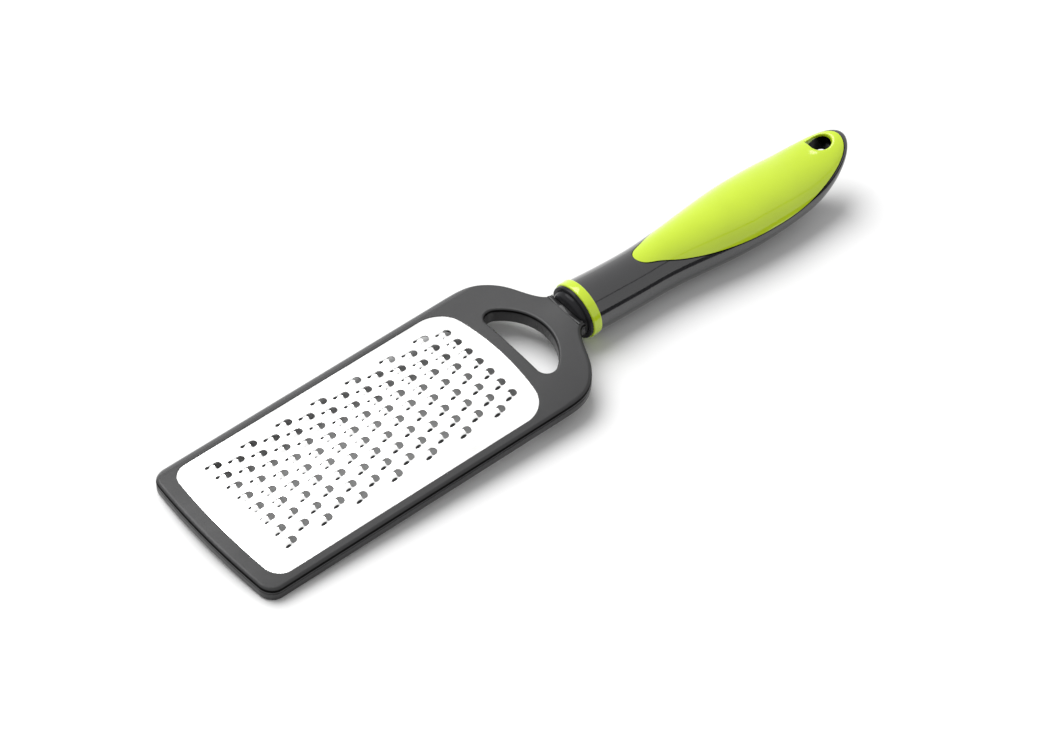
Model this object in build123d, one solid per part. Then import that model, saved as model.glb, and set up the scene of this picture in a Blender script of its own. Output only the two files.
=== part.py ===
from build123d import *
import os
from math import atan2, cos, degrees, pi, sin, sqrt

# Hand-held rasp zester: an arched stainless plate of scoop teeth in a two-part plastic frame,
# whose tang sits in a hollow handle with a coloured cover, held by one hidden screw.
# Millimetres. The pieces are built with the head level: X runs from the middle of the tooth
# field towards the handle, Y across, Z up, and the crown of the plate is at Z = 0.
# At the end everything is turned to the way it lies on a table and moved to its origin.

# Plate and its scoop teeth
crown_radius = 213.0
plate_thickness = 0.5
columns = 14
column_pitch = 7.5
row_pitch = 6.0
rows_even_column = 8
rows_odd_column = 7
field_offset = 0.8
field_offset_x = -0.4
hole_radius = 1.65
hole_cut_height = 0.05
hole_cut_depth = 4.0
scoop_mouth_x = -1.2
scoop_mouth_radius = 2.08
scoop_axis_depth = 1.33
scoop_length = 3.2
scoop_wall = 0.4

# Window in the bezel, and how far the plate and the ledge below it reach past or inside it
window_tip_x = -65.2
window_neck_x = 57.0
window_half_width = 29.8
window_tip_bow = 2.4
window_neck_bow = 3.2
window_tip_corner = 7.0
window_neck_corner = 11.0
plate_margin = 1.7
plate_play = 0.1
ledge_inset = 1.6

# Head frame
frame_tip_x = -71.4
frame_half_width = 33.4
frame_tip_bow = 2.8
frame_tip_corner = 6.0
shoulder_start_x = 58.0
shoulder_points = [(71.9, 30.8), (78.4, 23.8), (82.9, 14.0)]
waist_x = 86.6
waist_half_width = 9.4
neck_end_x = 90.6
neck_end_half_width = 9.9
neck_end_slope = 0.25
bezel_rise = 0.25
parting_drop = 1.8
neck_lip_rise = 0.4
neck_lip_width = 1.6
neck_lip_inset = 1.0
frame_depth = 6.0
resting_level = -7.6
groove_height = 0.4
groove_depth = 0.4
bezel_edge_round = 1.5
bezel_lip_round = 0.2
frame_edge_round = 1.5

# D-shaped opening between the plate and the neck
opening_flat_x = 61.7
opening_round_x = 76.8
opening_half_width = 20.3
opening_offset = -0.7
opening_corner = 4.0
opening_edge_round = 0.8

# Nose, ring and neck share one axis, which leans so that the ring's top is nearer the tip
ring_x = 92.9
ring_axis_z = -3.5
neck_slope = -3.0
ring_width = 3.8
ring_radius = 11.0
ring_seat_radius = 9.4
ring_gap = 0.04
ring_round = 0.6
nose_front = 5.3
nose_back = 3.0
nose_radius = 10.4
nose_round = 2.2
nose_core_radius = 8.9
nose_flange_front = 3.2
nose_flange_round = 0.4
nose_room_round = 3.0
nose_clearance = 0.15

# Handle: round neck, widest part, and end
handle_axis_z = -5.65
neck_start_x = 93.5
neck_radius = 10.15
neck_flare = 0.35
neck_lift = 2.2
neck_lift_power = 1.5
swell_start_x = 122.0
widest_x = 171.5
widest_half_width = 14.3
widest_flatness = 0.76
handle_end_x = 218.9
end_flatness = 0.58
end_power = 2.8
end_trim = 0.3
belly_drop = 0.85
tail_rise_x = 190.0
tail_rise = 9.2
handle_stations = 17

# Cover on the handle: where its lower edge runs, seen from the side
cover_edge_points = [
    (116.3, 5.4),
    (120.3, 4.1),
    (126.2, 3.0),
    (134.8, 0.6),
    (144.8, -1.7),
    (156.9, -3.5),
    (168.8, -4.4),
    (181.0, -4.75),
    (192.8, -3.8),
    (204.3, -1.25),
    (210.0, 0.7),
    (214.0, 2.6),
    (216.6, 4.4),
    (218.5, 6.2),
]
cover_wall = 2.0
cavity_start_x = 142.0
cavity_end_x = 200.0
cavity_stations = 7

# Hanging hole: a circle with one corner, turned away from the long axis
eye_x = 209.6
eye_y = 2.0
eye_radius = 4.1
eye_reach = 5.6
eye_turn = -52.0
eye_edge_round = 0.7
eye_rim_low_z = 2.15

# Tang, its socket and the hidden screw
tang_width = 12.0
tang_height = 5.0
tang_centre_z = -4.6
tang_start_x = 84.0
tang_end_x = 137.0
tang_play = 0.1
screw_x = 130.5
screw_radius = 1.5
screw_tip_z = -13.0
screw_head_radius = 2.8
screw_head_height = 1.8
screw_head_top_z = -0.3
screw_access_height = 10.0

# Lying on a table, the tip of the head and the belly of the handle both touch it
rest_tilt = 2.51

# Cutting shapes are longer and taller than what they cut, and joined ones run into each other
cut_length = 400.0
cut_reach = 40.0
overlap = 1.0

# An edge lies on a surface when these points along it are this close to it
edge_samples = (0.15, 0.5, 0.85)
touch = 0.05


def layer(top_offset, bottom_offset):
    """Arched layer parallel to the plate, between two heights above the plate's top surface."""
    centre = Pos(0, 0, -crown_radius) * Rot(0, 90, 0)
    outer = centre * Cylinder(crown_radius + top_offset, cut_length)
    inner = centre * Cylinder(crown_radius + bottom_offset, cut_length)
    return outer - inner


def prism(face):
    """Upright prism on an outline, tall enough to pass right through the head."""
    return extrude(face, amount=cut_reach, both=True)


def arched(face, top_offset, bottom_offset):
    """Solid with the outline of a face between two arched heights."""
    return prism(face) & layer(top_offset, bottom_offset)


def plate_outline(margin=0.0):
    """Outline of the window with bowed ends and round corners, grown by a margin."""
    tip = window_tip_x - margin
    neck = window_neck_x + margin
    side = window_half_width + margin
    with BuildSketch() as sketch:
        with BuildLine():
            ThreePointArc((tip + window_tip_bow, -side), (tip, 0), (tip + window_tip_bow, side))
            Line((tip + window_tip_bow, side), (neck - window_neck_bow, side))
            ThreePointArc((neck - window_neck_bow, side), (neck, 0), (neck - window_neck_bow, -side))
            Line((neck - window_neck_bow, -side), (tip + window_tip_bow, -side))
        make_face()
        corners = sketch.vertices().sort_by(Axis.X)
        fillet(corners[:2], window_tip_corner + margin)
        fillet(sketch.vertices().sort_by(Axis.X)[-2:], window_neck_corner + margin)
    return sketch.sketch


def head_outline(inset=0.0):
    """Outline of the head from the bowed tip round the shoulders to the end of the neck."""
    tip = frame_tip_x + inset
    side = frame_half_width - inset
    slant = inset * sqrt(0.5)
    with BuildSketch() as sketch:
        with BuildLine():
            ThreePointArc((tip + frame_tip_bow, -side), (tip, 0), (tip + frame_tip_bow, side))
            for hand in (1, -1):
                Line((tip + frame_tip_bow, hand * side), (shoulder_start_x, hand * side))
                curve = [(x - slant, hand * (y - slant)) for x, y in shoulder_points]
                Spline(
                    (shoulder_start_x, hand * side),
                    *curve,
                    (waist_x, hand * (waist_half_width - inset)),
                    (neck_end_x, hand * (neck_end_half_width - inset)),
                    tangents=[(1, 0), (1, hand * neck_end_slope)],
                )
            end = neck_end_half_width - inset
            Line((neck_end_x, end), (neck_end_x, -end))
        make_face()
        fillet(sketch.vertices().sort_by(Axis.X)[:2], frame_tip_corner - inset)
    return sketch.sketch


def opening_outline():
    """D-shaped outline: a straight side towards the plate and a round side towards the neck."""
    flat = opening_flat_x
    half = opening_half_width
    with BuildSketch() as sketch:
        with BuildLine():
            Line((flat, -half), (flat, half))
            ThreePointArc((flat, half), (opening_round_x, 0), (flat, -half))
        make_face()
        fillet(sketch.vertices(), opening_corner)
    return Pos(0, opening_offset, 0) * sketch.sketch


def blend(start, end, x):
    """Smooth step from 0 at start to 1 at end."""
    t = min(1.0, max(0.0, (x - start) / (end - start)))
    return t * t * (3 - 2 * t)


def handle_half_width(x):
    """Half the width of the handle: neck, swell, then a rounded end."""
    if x <= widest_x:
        flare = neck_flare * max(0.0, (swell_start_x - x) / (swell_start_x - ring_x)) ** 2
        return neck_radius + flare + (widest_half_width - neck_radius) * blend(swell_start_x, widest_x, x)
    along = (x - widest_x) / (handle_end_x - widest_x)
    return widest_half_width * sqrt(1 - along**end_power)


def handle_flatness(x):
    """Height of the handle's section over its width."""
    if x <= widest_x:
        return 1 - (1 - widest_flatness) * blend(swell_start_x, widest_x, x)
    along = (x - widest_x) / (handle_end_x - widest_x)
    return widest_flatness + (end_flatness - widest_flatness) * along


def handle_centre_z(x):
    """Height of the middle of the handle's section: rising to the neck, a slight belly, a rising tail."""
    neck = max(0.0, (swell_start_x - x) / (swell_start_x - ring_x))
    tail = max(0.0, (x - tail_rise_x) / (handle_end_x - tail_rise_x))
    belly = belly_drop * blend(swell_start_x, widest_x, x)
    return handle_axis_z + neck_lift * neck**neck_lift_power - belly + tail_rise * tail**2


def handle_section(x, inset=0.0):
    """Elliptical section of the handle at x, facing along X."""
    half_width = handle_half_width(x) - inset
    half_height = handle_half_width(x) * handle_flatness(x) - inset
    plane = Plane(origin=(x, 0, handle_centre_z(x)), x_dir=(0, 1, 0), z_dir=(1, 0, 0))
    return plane * Ellipse(half_width, half_height)


def handle_loft(start, end, count, inset=0.0):
    """Smooth solid through sections that get closer together towards the rounded end."""
    sections = []
    for i in range(count):
        t = i / (count - 1)
        x = start + (end - start) * sin(t * pi / 2)
        sections.append(handle_section(x, inset))
    return loft(sections)


def cover_zone():
    """Everything above the lower edge of the cover, across the whole handle."""
    first = cover_edge_points[0]
    last = cover_edge_points[-1]
    past = (last[0] + cut_reach / 2, last[1] + cut_reach / 2)
    with BuildSketch(Plane.XZ) as sketch:
        with BuildLine():
            Spline(*cover_edge_points)
            Polyline(last, past, (past[0], cut_reach), (first[0], cut_reach), first)
        make_face()
    return extrude(sketch.sketch, amount=cut_reach, both=True)


def eye_outline():
    """Circle and the two tangents from it to its corner, turned to its place."""
    share = eye_radius / eye_reach
    touch_x = -eye_radius * share
    touch_y = eye_radius * sqrt(1 - share**2)
    with BuildSketch() as sketch:
        with BuildLine():
            Polyline((touch_x, touch_y), (-eye_reach, 0), (touch_x, -touch_y))
            ThreePointArc((touch_x, -touch_y), (eye_radius, 0), (touch_x, touch_y))
        make_face()
    return Pos(eye_x, eye_y, 0) * Rot(0, 0, eye_turn) * sketch.sketch


def scoop(inset=0.0):
    """Half of a teardrop of revolution, its mouth facing the handle and its axis below the plate."""
    profile_radius = scoop_length**2 / (2 * (scoop_mouth_radius - scoop_axis_depth))
    mouth = scoop_mouth_radius - inset
    radius = profile_radius - inset
    reach = sqrt(2 * radius * mouth - mouth**2)
    angle = atan2(reach, radius - mouth)
    middle = (-radius * sin(angle / 2), radius * cos(angle / 2) - (radius - mouth))
    with BuildSketch(Plane.XZ) as sketch:
        with BuildLine():
            ThreePointArc((0, mouth), middle, (-reach, 0))
            Polyline((-reach, 0), (0, 0), (0, mouth))
        make_face()
    body = revolve(sketch.sketch, Axis.X)
    return Pos(scoop_mouth_x, 0, -scoop_axis_depth) * body


def tooth_places():
    """Every tooth's place on the arched plate: columns in step, odd ones half a pitch across."""
    places = []
    for column in range(columns):
        rows = rows_even_column if column % 2 == 0 else rows_odd_column
        x = field_offset_x + (column - (columns - 1) / 2) * column_pitch
        for row in range(rows):
            y = field_offset + (row - (rows - 1) / 2) * row_pitch
            turn = degrees(y / crown_radius)
            arch = Pos(0, 0, -crown_radius) * Rot(-turn, 0, 0) * Pos(0, 0, crown_radius)
            places.append(arch * Pos(x, 0, 0))
    return places


def make_plate():
    """Arched stainless sheet with a hole and a raised hollow scoop at every tooth."""
    sheet = arched(plate_outline(plate_margin), 0.0, -plate_thickness)
    root = plate_thickness / 2
    above = Pos(0, 0, cut_reach / 2 - root) * Box(cut_reach, cut_reach, cut_reach)
    dome = scoop() & above
    hollow = scoop(scoop_wall)
    hole = Pos(0, 0, hole_cut_height - hole_cut_depth / 2) * Cylinder(hole_radius, hole_cut_depth)
    places = tooth_places()
    sheet = sheet - [place * hole for place in places]
    sheet = sheet + [place * dome for place in places]
    return sheet - [place * hollow for place in places]


def along_neck(offset=0.0):
    """Place on the sloping axis of the ring, turned so that its X runs along that axis."""
    return Pos(ring_x, 0, ring_axis_z) * Rot(0, neck_slope, 0) * Pos(offset, 0, 0)


def axle(radius, start, end):
    """Cylinder on the sloping neck axis between two distances from the middle of the ring."""
    return along_neck((start + end) / 2) * Rot(0, 90, 0) * Cylinder(radius, end - start)


def nose():
    """Round nose at the front of the handle, with a thin flange next to the ring."""
    end = -ring_width / 2 - ring_gap
    core = axle(nose_core_radius, -nose_front, end)
    core = fillet(core.edges().sort_by(Axis.X)[0], nose_round)
    flange = axle(nose_radius, -nose_flange_front, end)
    return core + fillet(flange.edges().sort_by(Axis.X)[0], nose_flange_round)


def nose_room(grow):
    """Round room in the neck of the frame, larger than the nose by a given amount."""
    room = axle(nose_radius + grow, -nose_front - grow, nose_back)
    return fillet(room.edges().sort_by(Axis.X)[0], nose_room_round)


def arch_height(point):
    """Height of a point above the arched top surface of the plate."""
    return sqrt(point.Y**2 + (point.Z + crown_radius) ** 2) - crown_radius


def edges_on(body, outline, height):
    """Edges of a body that run along an upright outline at one height above the arch."""
    wall = prism(outline).faces()
    chosen = []
    for edge in body.edges():
        points = [edge.position_at(share) for share in edge_samples]
        level = all(abs(arch_height(point) - height) < touch for point in points)
        if level and all(min(face.distance_to(point) for face in wall) < touch for point in points):
            chosen.append(edge)
    return chosen


def make_bezel():
    """Top half of the head frame, lipped over the edge of the plate."""
    body = arched(head_outline(), bezel_rise, -parting_drop)
    body = fillet(edges_on(body, head_outline(), bezel_rise), bezel_edge_round)
    body -= prism(plate_outline())
    body -= arched(plate_outline(plate_margin + plate_play), 0.0, -parting_drop - overlap)
    body -= prism(opening_outline())
    body = fillet(edges_on(body, opening_outline(), bezel_rise), opening_edge_round)
    body = fillet(edges_on(body, plate_outline(), bezel_rise), bezel_lip_round)
    lip = arched(head_outline(neck_lip_inset), bezel_rise + neck_lip_rise, -parting_drop)
    body += lip & nose_room(neck_lip_width)
    return body - nose_room(nose_clearance)


def make_rear_frame():
    """Bottom half of the head frame, with the ledge under the plate, the neck and the tang."""
    body = arched(head_outline(), -parting_drop, -frame_depth)
    body = fillet(edges_on(body, head_outline(), -frame_depth), frame_edge_round)
    body += arched(plate_outline(plate_margin), -plate_thickness, -parting_drop - overlap)
    body -= prism(plate_outline(-ledge_inset))
    body -= prism(opening_outline())
    rim = prism(head_outline()) - prism(head_outline(groove_depth))
    body -= rim & layer(0, -parting_drop - groove_height)
    body -= Pos(0, 0, resting_level - cut_reach / 2) * Box(cut_length, cut_length, cut_reach)
    body -= nose_room(nose_clearance)
    body += tang()
    return body - Pos(screw_x, 0, tang_centre_z) * Cylinder(screw_radius + tang_play, 2 * tang_height)


def tang(grow=0.0):
    """Flat bar from the neck of the frame into the handle."""
    start = tang_start_x
    end = tang_end_x + grow
    size = (end - start, tang_width + 2 * grow, tang_height + 2 * grow)
    return Pos((start + end) / 2, 0, tang_centre_z) * Box(*size)


def make_ring():
    """Coloured ring round the nose, between its front flange and the neck of the handle."""
    ring = axle(ring_radius, -ring_width / 2, ring_width / 2)
    ring = fillet(ring.edges().filter_by(GeomType.CIRCLE), ring_round)
    return ring - axle(ring_seat_radius + ring_gap, -ring_width, ring_width)


def make_handle():
    """Whole outer form of the handle behind the ring."""
    handle = handle_loft(neck_start_x, handle_end_x - end_trim, handle_stations)
    return handle - axle(2 * neck_radius, -neck_radius, ring_width / 2 + ring_gap)


def make_handle_body(outer, cavity, eye):
    """Black body: below the cover's edge, with the nose, the ring's seat and the socket."""
    body = outer - cover_zone()
    body += nose()
    body += axle(ring_seat_radius, -ring_width, nose_back)
    body -= cavity
    body -= tang(tang_play)
    body -= make_screw(tang_play)
    access = Cylinder(screw_head_radius + tang_play, screw_access_height)
    body -= Pos(screw_x, 0, screw_head_top_z + screw_access_height / 2) * access
    return body - eye


def make_cover(outer, cavity, eye):
    """Green cover: the top of the handle, hollow underneath, with a soft rim round the eye."""
    cover = (outer & cover_zone()) - cavity - eye
    wall = eye.faces()
    rim = []
    for edge in cover.edges().filter_by(lambda edge: edge.center().Z > eye_rim_low_z):
        points = [edge.position_at(share) for share in edge_samples]
        if all(min(face.distance_to(point) for face in wall) < touch for point in points):
            rim.append(edge)
    return fillet(rim, eye_edge_round)


def make_screw(grow=0.0):
    """Self-tapping screw with a round head, point down."""
    shank_length = screw_head_top_z - screw_tip_z
    shank = Pos(screw_x, 0, screw_tip_z + shank_length / 2) * Cylinder(screw_radius, shank_length)
    head_height = screw_head_height + 2 * grow
    head_z = screw_head_top_z - screw_head_height / 2
    head = Pos(screw_x, 0, head_z) * Cylinder(screw_head_radius + grow, head_height)
    return shank + head


def make_pieces():
    """All pieces with the head level, by name."""
    outer = make_handle()
    cavity = handle_loft(cavity_start_x, cavity_end_x, cavity_stations, cover_wall)
    eye = prism(eye_outline())
    return {
        "front_bezel": make_bezel(),
        "rear_frame": make_rear_frame(),
        "collar_ring": make_ring(),
        "handle_body": make_handle_body(outer, cavity, eye),
        "grip_cover": make_cover(outer, cavity, eye),
        "tang_screw": make_screw(),
        "grater_plate": make_plate(),
    }


def lay_down(pieces):
    """Turn the pieces to the way they lie, with the origin under the middle of the whole."""
    turned = {name: Rot(0, -rest_tilt, 0) * piece for name, piece in pieces.items()}
    boxes = [piece.bounding_box() for piece in turned.values()]
    middle_x = (min(box.min.X for box in boxes) + max(box.max.X for box in boxes)) / 2
    middle_y = (min(box.min.Y for box in boxes) + max(box.max.Y for box in boxes)) / 2
    floor_z = min(box.min.Z for box in boxes)
    return {name: Pos(-middle_x, -middle_y, -floor_z) * piece for name, piece in turned.items()}


if __name__ == "__main__":
    os.makedirs("parts", exist_ok=True)
    for name, piece in lay_down(make_pieces()).items():
        export_step(piece, f"parts/{name}.step")
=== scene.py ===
from math import cos, pi, radians, sin, sqrt

import bmesh
import bpy
import numpy as np
from mathutils import Matrix, Vector


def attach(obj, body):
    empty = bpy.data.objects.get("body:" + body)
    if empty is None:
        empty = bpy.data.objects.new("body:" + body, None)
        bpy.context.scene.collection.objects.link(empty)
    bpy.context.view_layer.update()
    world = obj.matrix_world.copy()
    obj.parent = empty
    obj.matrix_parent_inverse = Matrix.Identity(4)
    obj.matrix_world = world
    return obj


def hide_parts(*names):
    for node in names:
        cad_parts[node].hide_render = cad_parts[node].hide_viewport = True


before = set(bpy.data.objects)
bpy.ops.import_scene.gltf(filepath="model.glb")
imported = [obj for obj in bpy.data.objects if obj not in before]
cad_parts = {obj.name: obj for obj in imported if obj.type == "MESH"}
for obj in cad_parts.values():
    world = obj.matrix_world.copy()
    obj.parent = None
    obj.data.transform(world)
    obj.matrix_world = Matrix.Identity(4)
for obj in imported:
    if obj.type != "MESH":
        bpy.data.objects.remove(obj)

bl_info = {
    "name": "Rasp zester",
    "version": (1, 0, 0),
    "blender": (4, 5, 0),
    "location": "3D View > Sidebar > Zester",
    "description": "Dresses the solid parts of a hand-held rasp zester and sets its stage",
    "category": "Add Mesh",
}

# Sizes are in millimetres with the head level: X runs from about the middle of the tooth field
# towards the handle, Y across, Z up, and the crown of the plate is at Z = 0.

# How the object lies: a turn about Y, then the place of the level origin
REST_TILT = 2.51
LEVEL_ORIGIN = (-73.52523, 0.0, 10.60618)
MILLIMETRE = 0.001

# Plate
CROWN_RADIUS = 213.0
COLUMNS = 14
ROWS_EVEN = 8
ROWS_ODD = 7
FIELD_OFFSET = 0.8
FIELD_X = -0.4
WINDOW_TIP = -65.2
WINDOW_NECK = 57.0
WINDOW_SIDE = 29.8
TIP_BOW = 2.4
NECK_BOW = 3.2
TIP_CORNER = 7.0
NECK_CORNER = 11.0
PLATE_MARGIN = 1.7

# One tooth's cell round its hole: the share of the pitch on the tip's side, and its grid
TAIL_SHARE = 2 / 3
STEPS_ALONG = 10
STEPS_ACROSS = 8
CELL_RINGS = (0.0, 0.05, 0.13, 0.24, 0.37, 0.51, 0.66, 0.81, 0.92, 1.0)
MARGIN_RINGS = (0.0, 0.3, 0.65, 1.0)
SLOPE_PROBE = 0.01

# The scoop: where its mouth stands, its axis below the sheet, and how its foot flows out
MOUTH_X = -1.2
AXIS_DEPTH = 1.33
SCOOP_LENGTH = 3.2
MOUTH_FADE = 0.45
FOOT_BLEND = 0.32
SCOOP_THINNING = 0.1

# Painted shade and dark reflections at the feet of a scoop: middle and half sizes, in its own plan and
# in its shift from the line y = MARK_START + MARK_LEAN * x over the head, counted towards minus Y in
# tens of millimetres
MARK_START = 7.8
MARK_LEAN = 0.2
TAIL_PAINTED_SHADE = ((-3.4, 1.0, -2.4), (0.95, 0.9, 3.7))
LINE_PAINTED_SHADE = ((-2.2, 1.4, -2.4), (1.2, 0.22, 4.5), -12.5)
LINE_DEPTH = 0.6
FLANK_PAINTED_SHADE = ((-2.8, -1.55, 3.8), (1.3, 0.55, 4.3))
NO_MARK = 50.0

# Sloping axis of the nose, the ring and the neck
RING_X = 92.9
RING_AXIS_Z = -3.5
NECK_SLOPE = -3.0
RING_GAP = 0.04
RING_BEAD = 0.15
SEAT_RADIUS = 9.4
NOSE_FRONT = 5.3
NOSE_RADIUS = 10.4
NOSE_ROUND = 2.2
CORE_RADIUS = 8.9
FLANGE_FRONT = 3.2
FLANGE_ROUND = 0.4

# Handle finish: where the nose is dull, in metres, and how wide the painted shade along the cover's edge
# is, in millimetres
DULL_NOSE = (0.0175, 0.0195)
SEAM_FADE = (0.35, 0.6)

# Frame finish in metres: where its far side rolls over, with a painted highlight, and by what radius,
# and the painted shade line under the rim, by its height over the arch, half its width and where it has
# faded out
ROLL_START = 0.0303
ROLL_RADIUS = 0.0036
RIM_LINE = (-0.0008, 0.0003, 0.0006)

# Handle
HANDLE_AXIS_Z = -5.65
NECK_RADIUS = 10.15
NECK_FLARE = 0.35
NECK_LIFT = 2.2
NECK_LIFT_POWER = 1.5
SWELL_START = 122.0
WIDEST_X = 171.5
WIDEST_HALF = 14.3
WIDEST_FLATNESS = 0.76
HANDLE_END = 218.9
END_FLATNESS = 0.58
END_POWER = 2.8
END_TRIM = 0.3
BELLY_DROP = 0.85
TAIL_X = 190.0
TAIL_RISE = 9.2
FRONT_EASE = 7.0

# Lower edge of the green cover, seen from the side
COVER_EDGE = np.array(
    (
        *((116.3, 5.4), (120.3, 4.1), (126.2, 3.0), (134.8, 0.6), (144.8, -1.7)),
        *((156.9, -3.5), (168.8, -4.4), (181.0, -4.75), (192.8, -3.8), (204.3, -1.25)),
        *((210.0, 0.7), (214.0, 2.6), (216.6, 4.4), (218.5, 6.2)),
    )
)
PATCH_X = 198.0

# Grids of the handle: points across the cover, round the body and across its top; places along
# the neck, the cover, its tail and the body's end; rings that close the body's end, as shares of
# its reach, and rings from the hanging hole out to the cover's edge
COVER_ACROSS = 65
BODY_ROUND = 129
TOP_ACROSS = 25
NECK_PLACES = 40
COVER_PLACES = 72
TAIL_PLACES = 34
END_PLACES = 7
CAP_RINGS = (0.6, 0.25, 0.0)
FAN_RINGS = (0.1, 0.22, 0.36, 0.5, 0.64, 0.77, 0.88, 0.96, 1.0)

# Hanging hole: a circle with one corner
EYE_X = 209.6
EYE_Y = 2.0
EYE_RADIUS = 4.1
EYE_REACH = 5.6
EYE_CORNER_ANGLE = 128.0
CUTTER_REACH = 30.0

# Shades worked into the finishes: the plate's darker grey where it faces down, the painted shade and
# reflections at its scoops' feet as a share of the steel's colour, the painted highlight on the frame's
# far edge, and the black of painted shade in gaps
UNDERSIDE_GREY = (0.3, 0.3, 0.3)
PAINTED_SHADE_SHARE = 0.035
PAINTED_EDGE_HIGHLIGHT = (0.26, 0.26, 0.265)
PAINTED_SHADE_BLACK = (0.001, 0.001, 0.001)

# Stage in metres: the floor, the light's place and its width in degrees, and the two dark cards
FLOOR_SIZE = 8.0
FLOOR_LEVEL = -0.0001
LAMP_PLACE = (-0.12, 0.66, 1.0)
LAMP_WIDTH = 52.0
FLOOR_CARD = ((-0.3, -0.5, 0.0001), (0.8, -0.5, 0.0001), (0.8, -0.05, 0.0001), (-0.3, -0.05, 0.0001))
AIR_CARD = ((-0.5, -1.0, 0.93), (2.0, -1.0, 0.93), (2.0, -1.0, 1.03), (-0.5, -1.0, 1.03))

# Camera by the level head, worked out from the tooth pattern's perspective, and its lens as the
# distance in pixels at which the picture is seen
CAMERA_PLACE = (-502.0, -687.5, 996.0)
CAMERA_RIGHT = (0.7696, -0.6385, 0.0)
CAMERA_LOOK = (0.4213, 0.5079, -0.7514)
LENS_PIXELS = 3837.0
PICTURE_PIXELS = 1050.0
SENSOR_WIDTH = 36.0


def length_property(name, description, default):
    """A size in metres that the panel shows as a length."""
    return bpy.props.FloatProperty(
        name=name, description=description, default=default, unit="LENGTH", precision=5
    )


def colour_property(name, description, *channels):
    """A colour that the panel shows as a swatch, from its red, green and blue."""
    return bpy.props.FloatVectorProperty(
        name=name, description=description, default=(*channels, 1.0), subtype="COLOR", size=4
    )


class ZesterSizes(bpy.types.PropertyGroup):
    """Sizes of the teeth, the ring and the rims that can be changed"""

    column_pitch: length_property("Column pitch", "Distance between columns along the head", 0.0075)
    row_pitch: length_property("Row pitch", "Distance between teeth across the head", 0.006)
    hole_radius: length_property("Hole radius", "Radius of each tooth's hole", 0.00165)
    mouth_radius: length_property("Mouth radius", "Radius of a scoop's mouth about its axis", 0.00208)
    sheet_thickness: length_property("Sheet thickness", "Thickness of the steel sheet", 0.0005)
    ring_width: length_property("Ring width", "Width of the green ring along the neck", 0.0038)
    ring_radius: length_property("Ring radius", "Outer radius of the green ring", 0.011)
    ring_round: length_property("Ring rounding", "Rounding of the green ring's edges", 0.0006)
    eye_round: length_property("Eye rounding", "Rounding of the cover's rim round the hole", 0.0007)


class ZesterColours(bpy.types.PropertyGroup):
    """Colours of the finishes, and the level of the light"""

    steel: colour_property("Plate steel", "Colour of the polished sheet", 0.96, 0.96, 0.95)
    frame_matte: colour_property("Matte frame", "Colour of the top of the head frame", 0.02, 0.02, 0.021)
    frame_satin: colour_property("Satin frame", "Colour of the frame's lower half", 0.02, 0.02, 0.021)
    lime: colour_property("Lime", "Colour of the ring and the handle's cover", 0.52, 0.69, 0.018)
    handle_black: colour_property("Handle black", "Colour of the handle's body", 0.02, 0.02, 0.022)
    screw: colour_property("Screw steel", "Colour of the hidden screw", 0.6, 0.6, 0.6)
    lamp_level: bpy.props.FloatProperty(
        name="Light level",
        description="Strength of the broad light from behind the object",
        default=3.0,
        min=0.0,
    )


def lay(points):
    """Level millimetres to lying metres: a turn about Y, then a shift of the level origin."""
    turn = radians(REST_TILT)
    x = points[..., 0] * cos(turn) - points[..., 2] * sin(turn) + LEVEL_ORIGIN[0]
    z = points[..., 0] * sin(turn) + points[..., 2] * cos(turn) + LEVEL_ORIGIN[2]
    return MILLIMETRE * np.stack((x, points[..., 1], z), axis=-1)


def level_direction(direction):
    """Turn a direction of the level object to the lying one, without the shift."""
    turn = radians(REST_TILT)
    x, y, z = direction
    return Vector((x * cos(turn) - z * sin(turn), y, x * sin(turn) + z * cos(turn)))


def grid_quads(shape, start, closed=False):
    """Corner numbers of a grid's quads, point (i, j) being start + i * columns + j."""
    rows, columns = shape
    i = np.arange(rows - 1)[:, None]
    j = np.arange(columns if closed else columns - 1)[None, :]
    after = (j + 1) % columns
    corners = (i * columns + j, (i + 1) * columns + j, (i + 1) * columns + after, i * columns + after)
    return start + np.stack(np.broadcast_arrays(*corners), axis=-1).reshape(-1, 4)


class Shell:
    """Grids of points that are welded into one closed mesh."""

    def __init__(self):
        self.points = []
        self.quads = []
        self.marks = []
        self.count = 0

    def add(self, grid, closed=False, marks=None):
        """Add a grid of points with their marks, closed along its second direction when asked."""
        self.quads.append(grid_quads(grid.shape[:2], self.count, closed))
        self.points.append(grid.reshape(-1, 3))
        size = grid.shape[0] * grid.shape[1]
        self.marks.append(np.full((size, 3), NO_MARK) if marks is None else marks.reshape(-1, 3))
        self.count += size

    def weld(self, step=0.002):
        """Join points that fall in one step of a fine lattice, and drop faces without area."""
        points = np.concatenate(self.points)
        quads = np.concatenate(self.quads)
        corners = np.concatenate((quads[:, (0, 1, 2)], quads[:, (0, 2, 3)]))
        keys = np.round(points / step).astype(np.int64)
        _, first, where = np.unique(keys, axis=0, return_index=True, return_inverse=True)
        triangles = where.reshape(-1)[corners]
        a, b, c = triangles.T
        kept = (a != b) & (b != c) & (c != a)
        return points[first], triangles[kept], np.concatenate(self.marks)[corners[kept]]


def placed(name, data):
    """Object of a mesh, a light or a camera, put into the scene."""
    thing = bpy.data.objects.new(name, data)
    bpy.context.scene.collection.objects.link(thing)
    return thing


def dressed(name, mesh, material, node, sharp=38.0):
    """Make an object of a mesh that stands in for a solid, with its finish."""
    mesh.polygons.foreach_set("use_smooth", np.ones(len(mesh.polygons), dtype=bool))
    mesh.set_sharp_from_angle(angle=radians(sharp))
    mesh.materials.clear()
    mesh.materials.append(material)
    piece = placed(name, mesh)
    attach(piece, "root")
    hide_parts(node)
    return piece


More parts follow.
